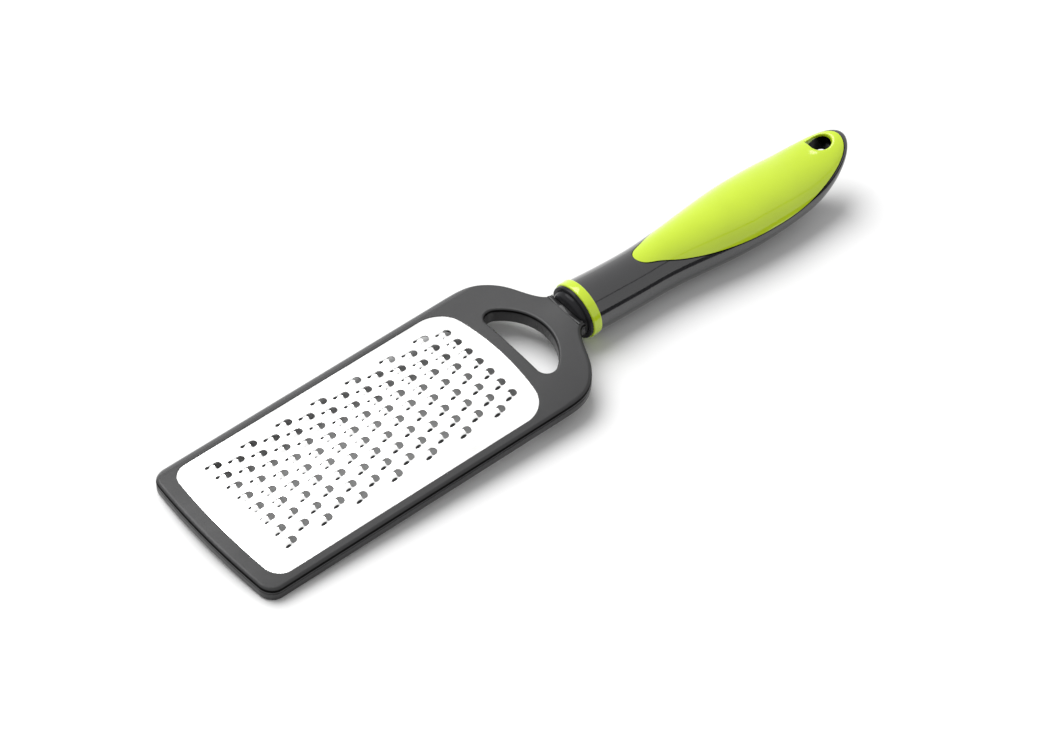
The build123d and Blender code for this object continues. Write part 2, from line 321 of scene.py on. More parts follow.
def shell_mesh(name, shell, mark_name=None):
    """Mesh of a welded shell in lying metres, all faces turned outwards."""
    points, triangles, marks = shell.weld()
    mesh = bpy.data.meshes.new(name)
    mesh.from_pydata(lay(points), [], triangles)
    if mark_name:
        layer = mesh.attributes.new(mark_name, "FLOAT_VECTOR", "CORNER")
        layer.data.foreach_set("vector", marks.reshape(-1))
    work = bmesh.new()
    work.from_mesh(mesh)
    bmesh.ops.recalc_face_normals(work, faces=work.faces)
    work.to_mesh(mesh)
    work.free()
    return mesh


def joined_copy(node):
    """Copy of a solid's mesh with its loose corners joined."""
    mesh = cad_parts[node].data.copy()
    work = bmesh.new()
    work.from_mesh(mesh)
    bmesh.ops.remove_doubles(work, verts=work.verts, dist=1e-6)
    work.to_mesh(mesh)
    work.free()
    return mesh


# Plate of scoop teeth


def on_arch(points):
    """Bend a flat layout over the plate's arch: y over the crown's radius becomes an angle."""
    radius = CROWN_RADIUS + points[..., 2]
    angle = points[..., 1] / CROWN_RADIUS
    return np.stack((points[..., 0], radius * np.sin(angle), radius * np.cos(angle) - CROWN_RADIUS), -1)


def scoop_height(x, y, mouth):
    """Height of the pressed sheet round a hole at the origin.

    Half a teardrop of revolution about an axis below the sheet: the root of the profile radius
    squared less y squared, less the axis depth. The profile is an arc that falls from the mouth
    to the axis depth over the scoop's length. In front of the mouth the height fades away, and
    a soft maximum with zero lets the foot flow into the sheet.
    """
    arc = SCOOP_LENGTH**2 / (2 * (mouth - AXIS_DEPTH))
    back = np.clip(MOUTH_X - x, 0.0, arc)
    profile = np.sqrt(arc**2 - back**2) - (arc - mouth)
    dome = np.sqrt(np.clip(profile**2 - y**2, 0.0, None)) - AXIS_DEPTH
    dome -= 2 * np.clip(np.abs(y) - profile, 0.0, None)
    fade = np.clip((x - MOUTH_X) / MOUTH_FADE, 0.0, 1.0)
    dome = dome * (1 - fade) - fade * FOOT_BLEND
    soft = np.clip(FOOT_BLEND - np.abs(dome), 0.0, None) ** 2 / (4 * FOOT_BLEND)
    return np.maximum(dome, 0.0) + soft


def tooth_marks(plan, x, y):
    """Place on a tooth's own plan, and its tooth's shift from the slanting line over the head."""
    shift = (MARK_START + MARK_LEAN * x - y) / 10
    return np.concatenate((plan, np.full(plan.shape[:2] + (1,), shift)), -1)


def tooth_cell(hole, along, across):
    """Flat grid of one tooth's cell: rings from the hole's rim out to the cell's rectangle.

    The rim is the hole's circle, cut off by the straight mouth of the scoop.
    """
    loop = rectangle_loop(along, across)
    reach = np.hypot(loop[:, 0], loop[:, 1])
    heading = loop / reach[:, None]
    chord = MOUTH_X / np.minimum(heading[:, 0], MOUTH_X / (4 * hole))
    rim = heading * np.minimum(hole, chord)[:, None]
    share = np.array(CELL_RINGS)[:, None, None]
    return rim[None] + share * (loop - rim)[None]


def rectangle_loop(along, across):
    """Points round a rectangle, from the steps along it and across it, as one closed loop."""
    low = np.full(len(along) - 1, across[0])
    high = np.full(len(along) - 1, across[-1])
    tip = np.full(len(across) - 1, along[0])
    neck = np.full(len(across) - 1, along[-1])
    return np.concatenate(
        (
            np.stack((along[:-1], low), 1),
            np.stack((neck, across[:-1]), 1),
            np.stack((along[:0:-1], high), 1),
            np.stack((tip, across[:0:-1]), 1),
        )
    )


def corner_path(end, bow, corner, side, points=24):
    """Half of one bowed end with its round corner, from the middle of the end to the side.

    The end is an arc through (end, 0) whose ends lie back by the bow; the corner's arc touches
    both that arc and the straight side. The sign of the end says which way it faces. The number
    of the point in the middle of the corner comes with the path.
    """
    hand = 1.0 if end > 0 else -1.0
    bow_radius = (side**2 + bow**2) / (2 * bow)
    bow_centre = end - hand * bow_radius
    lift = side - corner
    corner_x = bow_centre + hand * sqrt((bow_radius - corner) ** 2 - lift**2)
    meet = np.arctan2(lift, abs(corner_x - bow_centre))
    bow_angle = np.linspace(0.0, meet, points)
    turn = np.linspace(meet, pi / 2, points)[1:]
    bowed_x = bow_centre + hand * bow_radius * np.cos(bow_angle)
    round_x = corner_x + hand * corner * np.cos(turn)
    y = np.concatenate((bow_radius * np.sin(bow_angle), lift + corner * np.sin(turn)))
    return np.stack((np.concatenate((bowed_x, round_x)), y), 1), points + points // 2


def spaced(path, count):
    """Points at even distances along a polyline, its last point left out."""
    length = np.concatenate(([0.0], np.cumsum(np.hypot(*np.diff(path, axis=0).T))))
    at = np.linspace(0.0, length[-1], count + 1)[:-1]
    return np.stack((np.interp(at, length, path[:, 0]), np.interp(at, length, path[:, 1])), 1)


def window_loop(margin, count_along, count_across):
    """Outline of the plate as a closed loop that runs like a rectangle's, corner to corner."""
    side = WINDOW_SIDE + margin
    tip, tip_mid = corner_path(WINDOW_TIP - margin, TIP_BOW, TIP_CORNER + margin, side)
    neck, neck_mid = corner_path(WINDOW_NECK + margin, NECK_BOW, NECK_CORNER + margin, side)
    flip = np.array((1.0, -1.0))
    low = np.concatenate((tip[tip_mid:] * flip, neck[neck_mid:][::-1] * flip))
    high = np.concatenate((neck[neck_mid:], tip[tip_mid:][::-1]))
    neck_end = np.concatenate((neck[: neck_mid + 1][::-1] * flip, neck[1 : neck_mid + 1]))
    tip_end = np.concatenate((tip[: tip_mid + 1][::-1], tip[1 : tip_mid + 1] * flip))
    return np.concatenate(
        (
            spaced(low, count_along),
            spaced(neck_end, count_across),
            spaced(high, count_along),
            spaced(tip_end, count_across),
        )
    )


def add_sheet(shell, plan, height, slope, thickness, marks=None):
    """Add both skins over a flat grid, the lower one offset along the normal, and return them."""
    normal = np.stack((-slope[0], -slope[1], np.ones_like(height)), -1)
    normal /= np.linalg.norm(normal, axis=-1, keepdims=True)
    upper = np.concatenate((plan, height[..., None]), -1)
    lower = upper - thickness[..., None] * normal
    skins = on_arch(upper), on_arch(lower)
    for skin in skins:
        shell.add(skin, closed=True, marks=marks)
    return skins


def plate_shell(sizes):
    """Closed shell of the whole plate: cells with scoops, plain half cells and the margin."""
    pitch = sizes.column_pitch / MILLIMETRE
    row = sizes.row_pitch / MILLIMETRE
    hole = sizes.hole_radius / MILLIMETRE
    mouth = sizes.mouth_radius / MILLIMETRE
    sheet = sizes.sheet_thickness / MILLIMETRE
    shell = Shell()

    tail = TAIL_SHARE * pitch
    front = pitch - tail
    cell_along = np.linspace(-tail, front, STEPS_ALONG + 1)
    plan = tooth_cell(hole, cell_along, np.linspace(-row / 2, row / 2, STEPS_ACROSS + 1))
    x, y = plan[..., 0], plan[..., 1]
    height = scoop_height(x, y, mouth)
    rise_x = scoop_height(x + SLOPE_PROBE, y, mouth) - scoop_height(x - SLOPE_PROBE, y, mouth)
    rise_y = scoop_height(x, y + SLOPE_PROBE, mouth) - scoop_height(x, y - SLOPE_PROBE, mouth)
    slope = (rise_x / (2 * SLOPE_PROBE), rise_y / (2 * SLOPE_PROBE))
    thickness = sheet - SCOOP_THINNING * np.clip(height / FOOT_BLEND, 0.0, 1.0)
    for column in range(COLUMNS):
        rows = ROWS_ODD if column % 2 else ROWS_EVEN
        centre_x = FIELD_X + (column - (COLUMNS - 1) / 2) * pitch
        for number in range(rows):
            centre_y = FIELD_OFFSET + (number - (rows - 1) / 2) * row
            placed = plan + np.array((centre_x, centre_y))
            marks = tooth_marks(plan, centre_x, centre_y)
            upper, lower = add_sheet(shell, placed, height, slope, thickness, marks)
            shell.add(np.stack((upper[0], lower[0])), closed=True)
        if rows == ROWS_EVEN:
            continue
        for low in (-ROWS_EVEN / 2 * row, ROWS_ODD / 2 * row):
            across = FIELD_OFFSET + low + np.linspace(0.0, row / 2, STEPS_ACROSS // 2 + 1)
            flat = np.stack(np.meshgrid(centre_x + cell_along, across, indexing="ij"), -1)
            for depth in (0.0, -sheet):
                level = np.full(flat.shape[:2] + (1,), depth)
                shell.add(on_arch(np.concatenate((flat, level), -1)))

    steps_along = COLUMNS * STEPS_ALONG
    steps_across = ROWS_EVEN * STEPS_ACROSS
    reach = (COLUMNS - 1) / 2 * pitch
    along = np.linspace(FIELD_X - reach - tail, FIELD_X + reach + front, steps_along + 1)
    across = FIELD_OFFSET + np.linspace(-ROWS_EVEN / 2 * row, ROWS_EVEN / 2 * row, steps_across + 1)
    inner = rectangle_loop(along, across)
    outer = window_loop(PLATE_MARGIN, steps_along, steps_across)
    share = np.array(MARGIN_RINGS)[:, None, None]
    margin = inner[None] + share * (outer - inner)[None]
    flat = np.zeros(margin.shape[:2])
    upper, lower = add_sheet(shell, margin, flat, (flat, flat), flat + sheet)
    shell.add(np.stack((upper[-1], lower[-1])), closed=True)
    return shell


# Ring, nose and handle


def around_neck(profile, angle):
    """Profile of distances along and out from the sloping neck axis, carried round it.

    A point at distance s along and r out, at angle a, is the ring's middle plus s times the
    axis plus r times (cos a across plus sin a upwards), the whole leaning by the neck's slope.
    """
    lean = radians(NECK_SLOPE)
    along = profile[:, 0][:, None] + 0 * angle[None, :]
    across = profile[:, 1][:, None] * np.cos(angle)[None, :]
    up = profile[:, 1][:, None] * np.sin(angle)[None, :]
    x = RING_X + along * cos(lean) + up * sin(lean)
    z = RING_AXIS_Z - along * sin(lean) + up * cos(lean)
    return np.stack((x, across, z), -1)


def arc(centre, radius, start, end, count):
    """Points of a circle's arc in a profile, from one angle to another."""
    angle = np.linspace(start, end, count)
    return np.stack((centre[0] + radius * np.cos(angle), centre[1] + radius * np.sin(angle)), 1)


def ring_shell(sizes):
    """Closed ring: a section with four round corners, carried round the neck."""
    half = sizes.ring_width / MILLIMETRE / 2
    outer = sizes.ring_radius / MILLIMETRE
    edge = sizes.ring_round / MILLIMETRE
    inner = SEAT_RADIUS + RING_GAP
    section = np.concatenate(
        (
            arc((half - edge, outer - edge), edge, 0.0, pi / 2, 9),
            arc((edge - half, outer - edge), edge, pi / 2, pi, 9),
            arc((RING_BEAD - half, inner + RING_BEAD), RING_BEAD, pi, 1.5 * pi, 4),
            arc((half - RING_BEAD, inner + RING_BEAD), RING_BEAD, 1.5 * pi, 2 * pi, 4),
        )
    )
    angle = np.linspace(0.0, 2 * pi, 160, endpoint=False)
    turned = around_neck(np.concatenate((section, section[:1])), angle)
    shell = Shell()
    shell.add(turned, closed=True)
    return shell


def progress(start, end, x):
    """How far x has come from start to end, from 0 to 1."""
    return np.clip((x - start) / (end - start), 0.0, 1.0)


def ease(start, end, x):
    """Smooth step from 0 at start to 1 at end: t squared times (3 less 2 t)."""
    t = progress(start, end, x)
    return t * t * (3 - 2 * t)


def half_width(x):
    """Half the handle's width: neck radius, a flare at the ring, the swell, then a round end."""
    neck = progress(SWELL_START, RING_X, x)
    swell = (WIDEST_HALF - NECK_RADIUS) * ease(SWELL_START, WIDEST_X, x)
    front = NECK_RADIUS + NECK_FLARE * neck**2 + swell
    along = progress(WIDEST_X, HANDLE_END, x)
    return np.where(x <= WIDEST_X, front, WIDEST_HALF * np.sqrt(1 - along**END_POWER))


def half_height(x):
    """Half the handle's height: the half width times a flatness that falls along the handle."""
    along = progress(WIDEST_X, HANDLE_END, x)
    front = 1 - (1 - WIDEST_FLATNESS) * ease(SWELL_START, WIDEST_X, x)
    back = WIDEST_FLATNESS + (END_FLATNESS - WIDEST_FLATNESS) * along
    return half_width(x) * np.where(x <= WIDEST_X, front, back)


def centre_height(x):
    """Height of the middle of the section: lifted at the neck, a slight belly, a rising tail."""
    neck = progress(SWELL_START, RING_X, x)
    tail = progress(TAIL_X, HANDLE_END, x)
    belly = BELLY_DROP * ease(SWELL_START, WIDEST_X, x)
    return HANDLE_AXIS_Z + NECK_LIFT * neck**NECK_LIFT_POWER - belly + TAIL_RISE * tail**2


def on_handle(x, angle):
    """Point of the handle's skin: an upright ellipse at x, at an angle from the side upwards."""
    z = centre_height(x) + half_height(x) * np.sin(angle)
    return np.stack((x, half_width(x) * np.cos(angle), z), -1)


def edge_height(x):
    """Height of the cover's lower edge: cubic arcs through its points with averaged slopes."""
    at, height = COVER_EDGE.T
    slope = np.gradient(height, at)
    i = np.clip(np.searchsorted(at, x) - 1, 0, len(at) - 2)
    gap = at[i + 1] - at[i]
    t = np.clip((x - at[i]) / gap, 0.0, 1.0)
    rise = height[i] * (1 + 2 * t) * (1 - t) ** 2 + height[i + 1] * t**2 * (3 - 2 * t)
    return rise + gap * t * (1 - t) * (slope[i] * (1 - t) - slope[i + 1] * t)


def edge_angle(x):
    """Angle on the handle's section at which the cover's edge runs, a right angle where it closes."""
    return np.arcsin(np.clip((edge_height(x) - centre_height(x)) / half_height(x), -1.0, 1.0))


def cover_ends():
    """Where the cover's edge meets the top line of the handle, towards the neck and at the end."""
    x = np.linspace(COVER_EDGE[0, 0], HANDLE_END - END_TRIM, 40001)
    under = np.nonzero(edge_height(x) < centre_height(x) + half_height(x))[0]
    return x[under[0]], x[under[-1]]


def eye_path(angle, offset):
    """Outline of the hanging hole at a distance outside it, about the hole's middle.

    The radius is the circle's, and within reach of the corner it is the distance to the
    tangents: radius over the cosine of the angle from the tangent's foot.
    """
    foot = np.arccos(EYE_RADIUS / EYE_REACH)
    turn = np.abs((angle - radians(EYE_CORNER_ANGLE) + pi) % (2 * pi) - pi)
    radius = (EYE_RADIUS + offset) / np.cos(np.clip(foot - turn, 0.0, None))
    return np.stack((EYE_X + radius * np.cos(angle), EYE_Y + radius * np.sin(angle)), -1)


def top_height(x, y):
    """Height of the handle's upper skin over a place in plan."""
    share = np.clip(y / np.maximum(half_width(x), 0.001), -1.0, 1.0)
    return centre_height(x) + half_height(x) * np.sqrt(1 - share**2)


def cover_stations(tip):
    """Places along the cover that crowd together at its round tip."""
    return tip + (PATCH_X - tip) * (1 - np.cos(np.linspace(0.0, pi / 2, COVER_PLACES)))


def tail_stations(end):
    """Places after the start of the patch round the hole to the cover's end, crowded there."""
    return (PATCH_X + (end - PATCH_X) * np.sin(np.linspace(0.0, pi / 2, TAIL_PLACES)))[1:]


def cover_shell(sizes):
    """Closed shell of the green cover: upper skin, underside, and the rim and wall of the eye.

    Up to the patch the upper skin is the handle's skin between the two lower edges. Round the
    eye it is a fan of rings in plan, from the rim's rounding out to the cover's edge.
    """
    tip, end = cover_ends()
    across = np.linspace(1.0, -1.0, COVER_ACROSS)
    x = cover_stations(tip)[:, None] + 0 * across[None, :]
    angle = pi / 2 - across[None, :] * (pi / 2 - edge_angle(x))
    upper = on_handle(x, angle)
    lower = upper.copy()
    lower[..., 2] = edge_height(x)
    shell = Shell()
    shell.add(upper)
    shell.add(lower)

    tail = tail_stations(end)
    reach = half_width(tail) * np.cos(edge_angle(tail))
    side = np.stack((tail, -reach), 1)
    back = np.stack((tail, reach), 1)[-2::-1]
    outer = np.concatenate((upper[-1, :, :2], side, back))
    heading = np.arctan2(outer[:, 1] - EYE_Y, outer[:, 0] - EYE_X)
    round_size = sizes.eye_round / MILLIMETRE
    roll = np.linspace(0.0, pi / 2, 6)
    offsets = round_size * (1 - np.cos(roll))
    drops = round_size * (1 - np.sin(roll))
    rim = np.stack([eye_path(heading, offset) for offset in offsets])
    share = np.array(FAN_RINGS)[:, None, None]
    fan = rim[-1][None] + share * (outer - rim[-1])[None]
    plan = np.concatenate((rim, fan))
    height = top_height(plan[..., 0], plan[..., 1])
    height[-1] = edge_height(plan[-1, :, 0])
    height[-1, : len(across)] = upper[-1, :, 2]
    height[: len(drops)] -= drops[:, None]
    floor = edge_height(plan[..., 0])
    top = np.concatenate((plan, height[..., None]), -1)
    bottom = np.concatenate((plan, floor[..., None]), -1)
    shell.add(top, closed=True)
    shell.add(bottom, closed=True)
    wall = bottom[0] + np.linspace(0.0, 1.0, 5)[:, None, None] * (top[0] - bottom[0])[None]
    shell.add(wall, closed=True)
    return shell


def body_shell(sizes):
    """Closed shell of the black body: nose, ring seat and skin in one grid, and its top side.

    Rows run along the handle and columns round its section, from one lower edge of the cover
    under the belly to the other. Outside the cover the two edges meet in the top line.
    """
    tip, end = cover_ends()
    across = np.linspace(-1.0, 1.0, BODY_ROUND)
    seat_half = sizes.ring_width / MILLIMETRE / 2 + RING_GAP
    nose = np.concatenate(
        (
            np.array(((-NOSE_FRONT, 0.0), (-NOSE_FRONT, 3.0), (-NOSE_FRONT, 5.5))),
            arc((NOSE_ROUND - NOSE_FRONT, CORE_RADIUS - NOSE_ROUND), NOSE_ROUND, pi, pi / 2, 12),
            np.array(((-FLANGE_FRONT, CORE_RADIUS),)),
            arc((FLANGE_ROUND - FLANGE_FRONT, NOSE_RADIUS - FLANGE_ROUND), FLANGE_ROUND, pi, pi / 2, 6),
            np.array(((-seat_half, NOSE_RADIUS), (-seat_half, SEAT_RADIUS), (seat_half, SEAT_RADIUS))),
        )
    )
    start = RING_X + seat_half
    neck = np.linspace(start, tip, NECK_PLACES)[:-1]
    covered = np.concatenate((cover_stations(tip), tail_stations(end)))
    last = end + (HANDLE_END - END_TRIM - end) * np.sin(np.linspace(0.0, pi / 2, END_PLACES))[1:]
    stations = np.concatenate((neck, covered, last))
    x = stations[:, None] + 0 * across[None, :]
    angle = -pi / 2 + across[None, :] * (pi / 2 + edge_angle(x))
    outside = (stations < tip) | (stations > end)
    angle[outside] = -pi / 2 + across[None, :] * pi
    skin = on_handle(x, angle)
    lean = np.clip(1 - (x - start) / FRONT_EASE, 0.0, 1.0)
    skin[..., 0] += lean * np.tan(radians(NECK_SLOPE)) * (skin[..., 2] - RING_AXIS_Z)
    centre = np.array((stations[-1], 0.0, centre_height(stations[-1])))
    cap = centre + np.array(CAP_RINGS)[:, None, None] * (skin[-1] - centre)[None]
    grid = np.concatenate((around_neck(nose, -pi / 2 + across * pi), skin, cap))
    marks = np.full(grid.shape, NO_MARK)
    rows = slice(len(nose), len(nose) + len(stations))
    arc_length = half_height(x) * (pi / 2 + edge_angle(x)) * (1 - np.abs(across))[None, :]
    marks[rows, :, 0] = np.where(outside[:, None], NO_MARK, arc_length)
    shell = Shell()
    shell.add(grid, marks=marks)

    width = np.linspace(-1.0, 1.0, TOP_ACROSS)
    x = covered[:, None] + 0 * width[None, :]
    y = half_width(x) * np.cos(edge_angle(x)) * width[None, :]
    shell.add(np.stack((x, y, edge_height(x)), -1))
    return shell


def eye_cutter():
    """Upright prism on the outline of the hanging hole, for cutting it through the body."""
    angle = radians(EYE_CORNER_ANGLE) + np.linspace(0.0, 2 * pi, 97)[:-1]
    outline = eye_path(angle, 0.0)
    middle = np.array((EYE_X, EYE_Y))
    rows = []
    for side, size in ((-1, 0.0), (-1, 1.0), (1, 1.0), (1, 0.0)):
        height = side * CUTTER_REACH
        flat = middle + size * (outline - middle)
        rows.append(np.concatenate((flat, np.full((len(flat), 1), height)), -1))
    shell = Shell()
    shell.add(np.stack(rows), closed=True)
    return shell


def cut_through(mesh, cutter_mesh):
    """Mesh of the first shell with the second one taken away."""
    body = placed("body_blank", mesh)
    cutter = placed("eye_cutter", cutter_mesh)
    cut = body.modifiers.new("eye", "BOOLEAN")
    cut.operation = "DIFFERENCE"
    cut.solver = "EXACT"
    cut.object = cutter
    graph = bpy.context.evaluated_depsgraph_get()
    result = bpy.data.meshes.new_from_object(body.evaluated_get(graph))
    bpy.data.objects.remove(body)
    bpy.data.objects.remove(cutter)
    return result


# Finishes


class Finish:
    """A material that is put together from nodes on a Principled shader."""

    def __init__(self, name):
        self.material = bpy.data.materials.new(name)
        self.material.use_nodes = True
        self.nodes = self.material.node_tree.nodes
        self.links = self.material.node_tree.links
        self.shader = self.nodes["Principled BSDF"]
        self.place = self.nodes.new("ShaderNodeTexCoord").outputs["Object"]

    def set(self, **values):
        """Set the shader's own sockets, their names written with underscores."""
        for name, value in values.items():
            self.shader.inputs[name.replace("_", " ")].default_value = value

    def add(self, kind, setting=(), **inputs):
        """New node with one setting made, its inputs linked to sockets or set to plain values."""
        node = self.nodes.new("ShaderNode" + kind)
        if setting:
            setattr(node, *setting)
        for name, value in inputs.items():
            socket = node.inputs[name.replace("_", " ")]
            if isinstance(value, bpy.types.NodeSocket):
                self.links.new(value, socket)
            else:
                socket.default_value = value
        return node

    def stretch(self, scale):
        """Object coordinates scaled along each axis, for a grain that runs one way."""
        return self.add("Mapping", Vector=self.place, Scale=scale).outputs["Vector"]

    def noise(self, scale, detail=3.0, place=None):
        """Noise from about 0.3 to 0.7, its scale in waves per metre."""
        node = self.add("TexNoise", Vector=place or self.place, Scale=scale, Detail=detail)
        return node.outputs["Fac"]

    def between(self, value, low, high, start=0.3, end=0.7):
        """Bring a value from one range to another."""
        node = self.add("MapRange", Value=value, From_Min=start, From_Max=end, To_Min=low, To_Max=high)
        return node.outputs["Result"]

    def tint(self, value, colour, low, high):
        """Colour that varies between a darker and a lighter share of one colour."""
        ramp = self.add("ValToRGB", Fac=value)
        for element, share, at in zip(ramp.color_ramp.elements, (low, high), (0.3, 0.7)):
            element.color = (*(min(1.0, channel * share) for channel in colour[:3]), 1.0)
            element.position = at
        return ramp.outputs["Color"]

    def bump(self, value, depth, strength=1.0):
        """Bump of a depth in metres from a value."""
        return self.add("Bump", Height=value, Distance=depth, Strength=strength).outputs["Normal"]

    def patch(self, place, centre, sizes, turn=0.0, edge=0.15):
        """1 inside an ellipsoid round a place, turned in plan, fading to 0 over its edge."""
        shape = {"Location": centre, "Rotation": (0.0, 0.0, radians(turn)), "Scale": sizes}
        mapping = self.add("Mapping", ("vector_type", "TEXTURE"), Vector=place, **shape)
        length = self.add("VectorMath", ("operation", "LENGTH"), Vector=mapping.outputs["Vector"])
        return self.between(length.outputs["Value"], 1.0, 0.0, 1 - edge, 1 + edge)

    def compute(self, operation, *values):
        """Result of one step of arithmetic over sockets and plain numbers."""
        node = self.add("Math", ("operation", operation))
        for socket, value in zip(node.inputs, values):
            if isinstance(value, float):
                socket.default_value = value
            else:
                self.links.new(value, socket)
        return node.outputs[0]

    def mixed(self, share, colour, plain):
        """Colour that turns into a plain one by a share."""
        node = self.add("Mix", ("data_type", "RGBA"), Factor=share, A=colour, B=(*plain, 1.0))
        return node.outputs["Result"]

    def parts(self, vector):
        """Three separate values of a vector."""
        return self.add("SeparateXYZ", Vector=vector).outputs

    def mark(self, name):
        """Vector that the mesh carries under a name."""
        return self.add("Attribute", ("attribute_name", name)).outputs["Vector"]

    def wire(self, output, socket):
        """Link an output to one of the shader's sockets."""
        self.links.new(output, self.shader.inputs[socket])

    def source(self, socket):
        """Output that one of the shader's sockets is linked to so far."""
        return self.shader.inputs[socket].links[0].from_socket


def polished_steel(colour):
    """Bright rolled sheet, darker grey where it faces down, with faint lines and painted shade and dark
    reflections at the feet of the scoops.
    """
    steel = Finish("plate_steel")
    steel.set(Metallic=1.0, Specular_IOR_Level=0.5)
    lines = steel.noise(900.0, 2.0, steel.stretch((0.12, 1.0, 1.0)))
    clouds = steel.noise(60.0)
    place = steel.mark("tooth_place")
    tail = steel.patch(place, *TAIL_PAINTED_SHADE)
    flank = steel.patch(place, *FLANK_PAINTED_SHADE)
    line = steel.compute("MULTIPLY", steel.patch(place, *LINE_PAINTED_SHADE), LINE_DEPTH)
    dark = [PAINTED_SHADE_SHARE * channel for channel in colour[:3]]
    facing = steel.add("NewGeometry").outputs["True Normal"]
    below = steel.between(steel.parts(facing)["Z"], 1.0, 0.0, -0.5, -0.3)
    bright = steel.mixed(below, steel.tint(clouds, colour, 0.97, 1.06), UNDERSIDE_GREY)
    # Painted shade and dark reflections at each scoop's foot: the steel's colour darkens inside these
    # patches.
    painted_shade = steel.compute("MAXIMUM", steel.compute("MAXIMUM", tail, flank), line)
    steel.wire(steel.mixed(painted_shade, bright, dark), "Base Color")
    steel.wire(steel.between(lines, 0.1, 0.2), "Roughness")
    steel.wire(steel.bump(lines, 0.000003, 0.5), "Normal")
    return steel.material


def moulded(name, colour, gloss, grain, depth, coat=0.0, spread=0.12):
    """Moulded plastic: slow clouds in the colour, a fine grain, and worn patches in the gloss."""
    plastic = Finish(name)
    plastic.set(Specular_IOR_Level=0.5, Coat_Weight=coat, Coat_Roughness=0.06)
    clouds = plastic.noise(45.0, 4.0)
    fine = plastic.noise(grain, 2.0)
    rubbed_and_sheen = plastic.noise(120.0, 5.0, plastic.stretch((0.4, 1.0, 1.0)))
    plastic.wire(plastic.tint(clouds, colour, 1 - spread, 1 + spread), "Base Color")
    plastic.wire(plastic.between(rubbed_and_sheen, *gloss), "Roughness")
    plastic.wire(plastic.bump(fine, depth), "Normal")
    return plastic


def bezel_plastic(colour):
    """Matte moulding, one long side rolled over with a painted highlight along it, and a painted shade
    line under its rim.

    The roll is a bump of height radius times the root of 1 less t squared, t being the distance
    past the start over the radius. The line lies at one height over the arch: z of the level
    head plus y squared over twice the crown's radius.
    """
    plastic = moulded("matte_moulding", colour, gloss=(0.36, 0.46), grain=5200.0, depth=0.00002)
    across = plastic.parts(plastic.place)["Y"]
    past = plastic.between(across, 0.0, 1.0, ROLL_START, ROLL_START + ROLL_RADIUS)
    squared = plastic.compute("MULTIPLY", past, past)
    round_over = plastic.compute("SQRT", plastic.compute("SUBTRACT", 1.0, squared))
    grain = plastic.source("Normal").node
    plastic.links.new(plastic.bump(round_over, ROLL_RADIUS), grain.inputs["Normal"])

    turn = radians(REST_TILT)
    up = plastic.add("VectorMath", ("operation", "DOT_PRODUCT"), Vector=plastic.place)
    up.inputs[1].default_value = (-sin(turn), 0.0, cos(turn))
    shift = MILLIMETRE * (LEVEL_ORIGIN[0] * sin(turn) - LEVEL_ORIGIN[2] * cos(turn))
    across_squared = plastic.compute("MULTIPLY", across, across)
    bow = plastic.compute("DIVIDE", across_squared, 2 * MILLIMETRE * CROWN_RADIUS)
    height = plastic.compute("ADD", plastic.compute("ADD", up.outputs["Value"], shift), bow)
    # Painted shade: a black line at one height under the rim, where the overhang's shadow falls.
    off = plastic.compute("ABSOLUTE", plastic.compute("SUBTRACT", height, RIM_LINE[0]))
    line = plastic.between(off, 1.0, 0.0, RIM_LINE[1], RIM_LINE[2])
    # Painted highlight: the colour turns paler over the far side's rolled edge, where light catches it.
    rubbed_and_sheen = plastic.mixed(squared, plastic.source("Base Color"), PAINTED_EDGE_HIGHLIGHT)
    plastic.wire(plastic.mixed(line, rubbed_and_sheen, PAINTED_SHADE_BLACK), "Base Color")
    shine = plastic.between(past, 0.4, 1.0, 0.0, 1.0)
    dulled = plastic.between(line, 1.0, 0.08, 0.0, 1.0)
    plastic.wire(plastic.compute("MULTIPLY", shine, dulled), "Specular IOR Level")
    worn = plastic.between(past, 1.0, 0.45, 0.0, 0.6)
    plastic.wire(plastic.compute("MULTIPLY", plastic.source("Roughness"), worn), "Roughness")
    return plastic


def handle_plastic(colour):
    """Glossy black moulding, dull on the nose before the ring, and dull and black with painted shade
    along the cover's edge and in the hanging hole.
    """
    plastic = moulded("black_moulding", colour, gloss=(0.1, 0.16), grain=2600.0, depth=0.000004)
    bare = plastic.between(plastic.parts(plastic.mark("seam_place"))["X"], 0.0, 1.0, *SEAM_FADE)
    along = plastic.between(plastic.parts(plastic.place)["X"], 0.0, 1.0, *DULL_NOSE)
    gloss = plastic.compute("MULTIPLY", bare, along)
    plastic.wire(plastic.between(gloss, 0.0, 0.6, 0.0, 1.0), "Coat Weight")
    plastic.wire(plastic.between(gloss, 0.08, 0.5, 0.0, 1.0), "Specular IOR Level")
    # Painted shade: black along the parting line with the cover and on the walls of the hanging hole.
    seam_shade = plastic.compute("SUBTRACT", 1.0, bare)
    plastic.wire(plastic.mixed(seam_shade, plastic.source("Base Color"), PAINTED_SHADE_BLACK), "Base Color")
    return plastic.material


def lime_plastic(colour):
    """The one glossy green plastic, made once and then used again."""
    made = bpy.data.materials.get("lime_moulding")
    if made:
        return made
    plastic = moulded(
        "lime_moulding", colour, gloss=(0.12, 0.18), grain=2600.0, depth=0.000004, coat=1.0, spread=0.04
    )
    plastic.set(Specular_IOR_Level=0.1)
    return plastic.material


def screw_steel(colour):
    """Dull plated steel."""
    steel = Finish("screw_plating")
    steel.set(Metallic=1.0)
    clouds = steel.noise(400.0)
    steel.wire(steel.tint(clouds, colour, 0.85, 1.1), "Base Color")
    steel.wire(steel.between(clouds, 0.3, 0.45), "Roughness")
    return steel.material


# Stage


def seen_directly(nodes, links):
    """1 for rays from the camera and for those that metal and glass send out, otherwise 0."""
    path = nodes.new("ShaderNodeLightPath")
    total = path.outputs["Is Camera Ray"]
    for name in ("Is Glossy Ray", "Is Transmission Ray"):
        either = nodes.new("ShaderNodeMath")
        either.operation = "MAXIMUM"
        links.new(total, either.inputs[0])
        links.new(path.outputs[name], either.inputs[1])
        total = either.outputs[0]
    return total


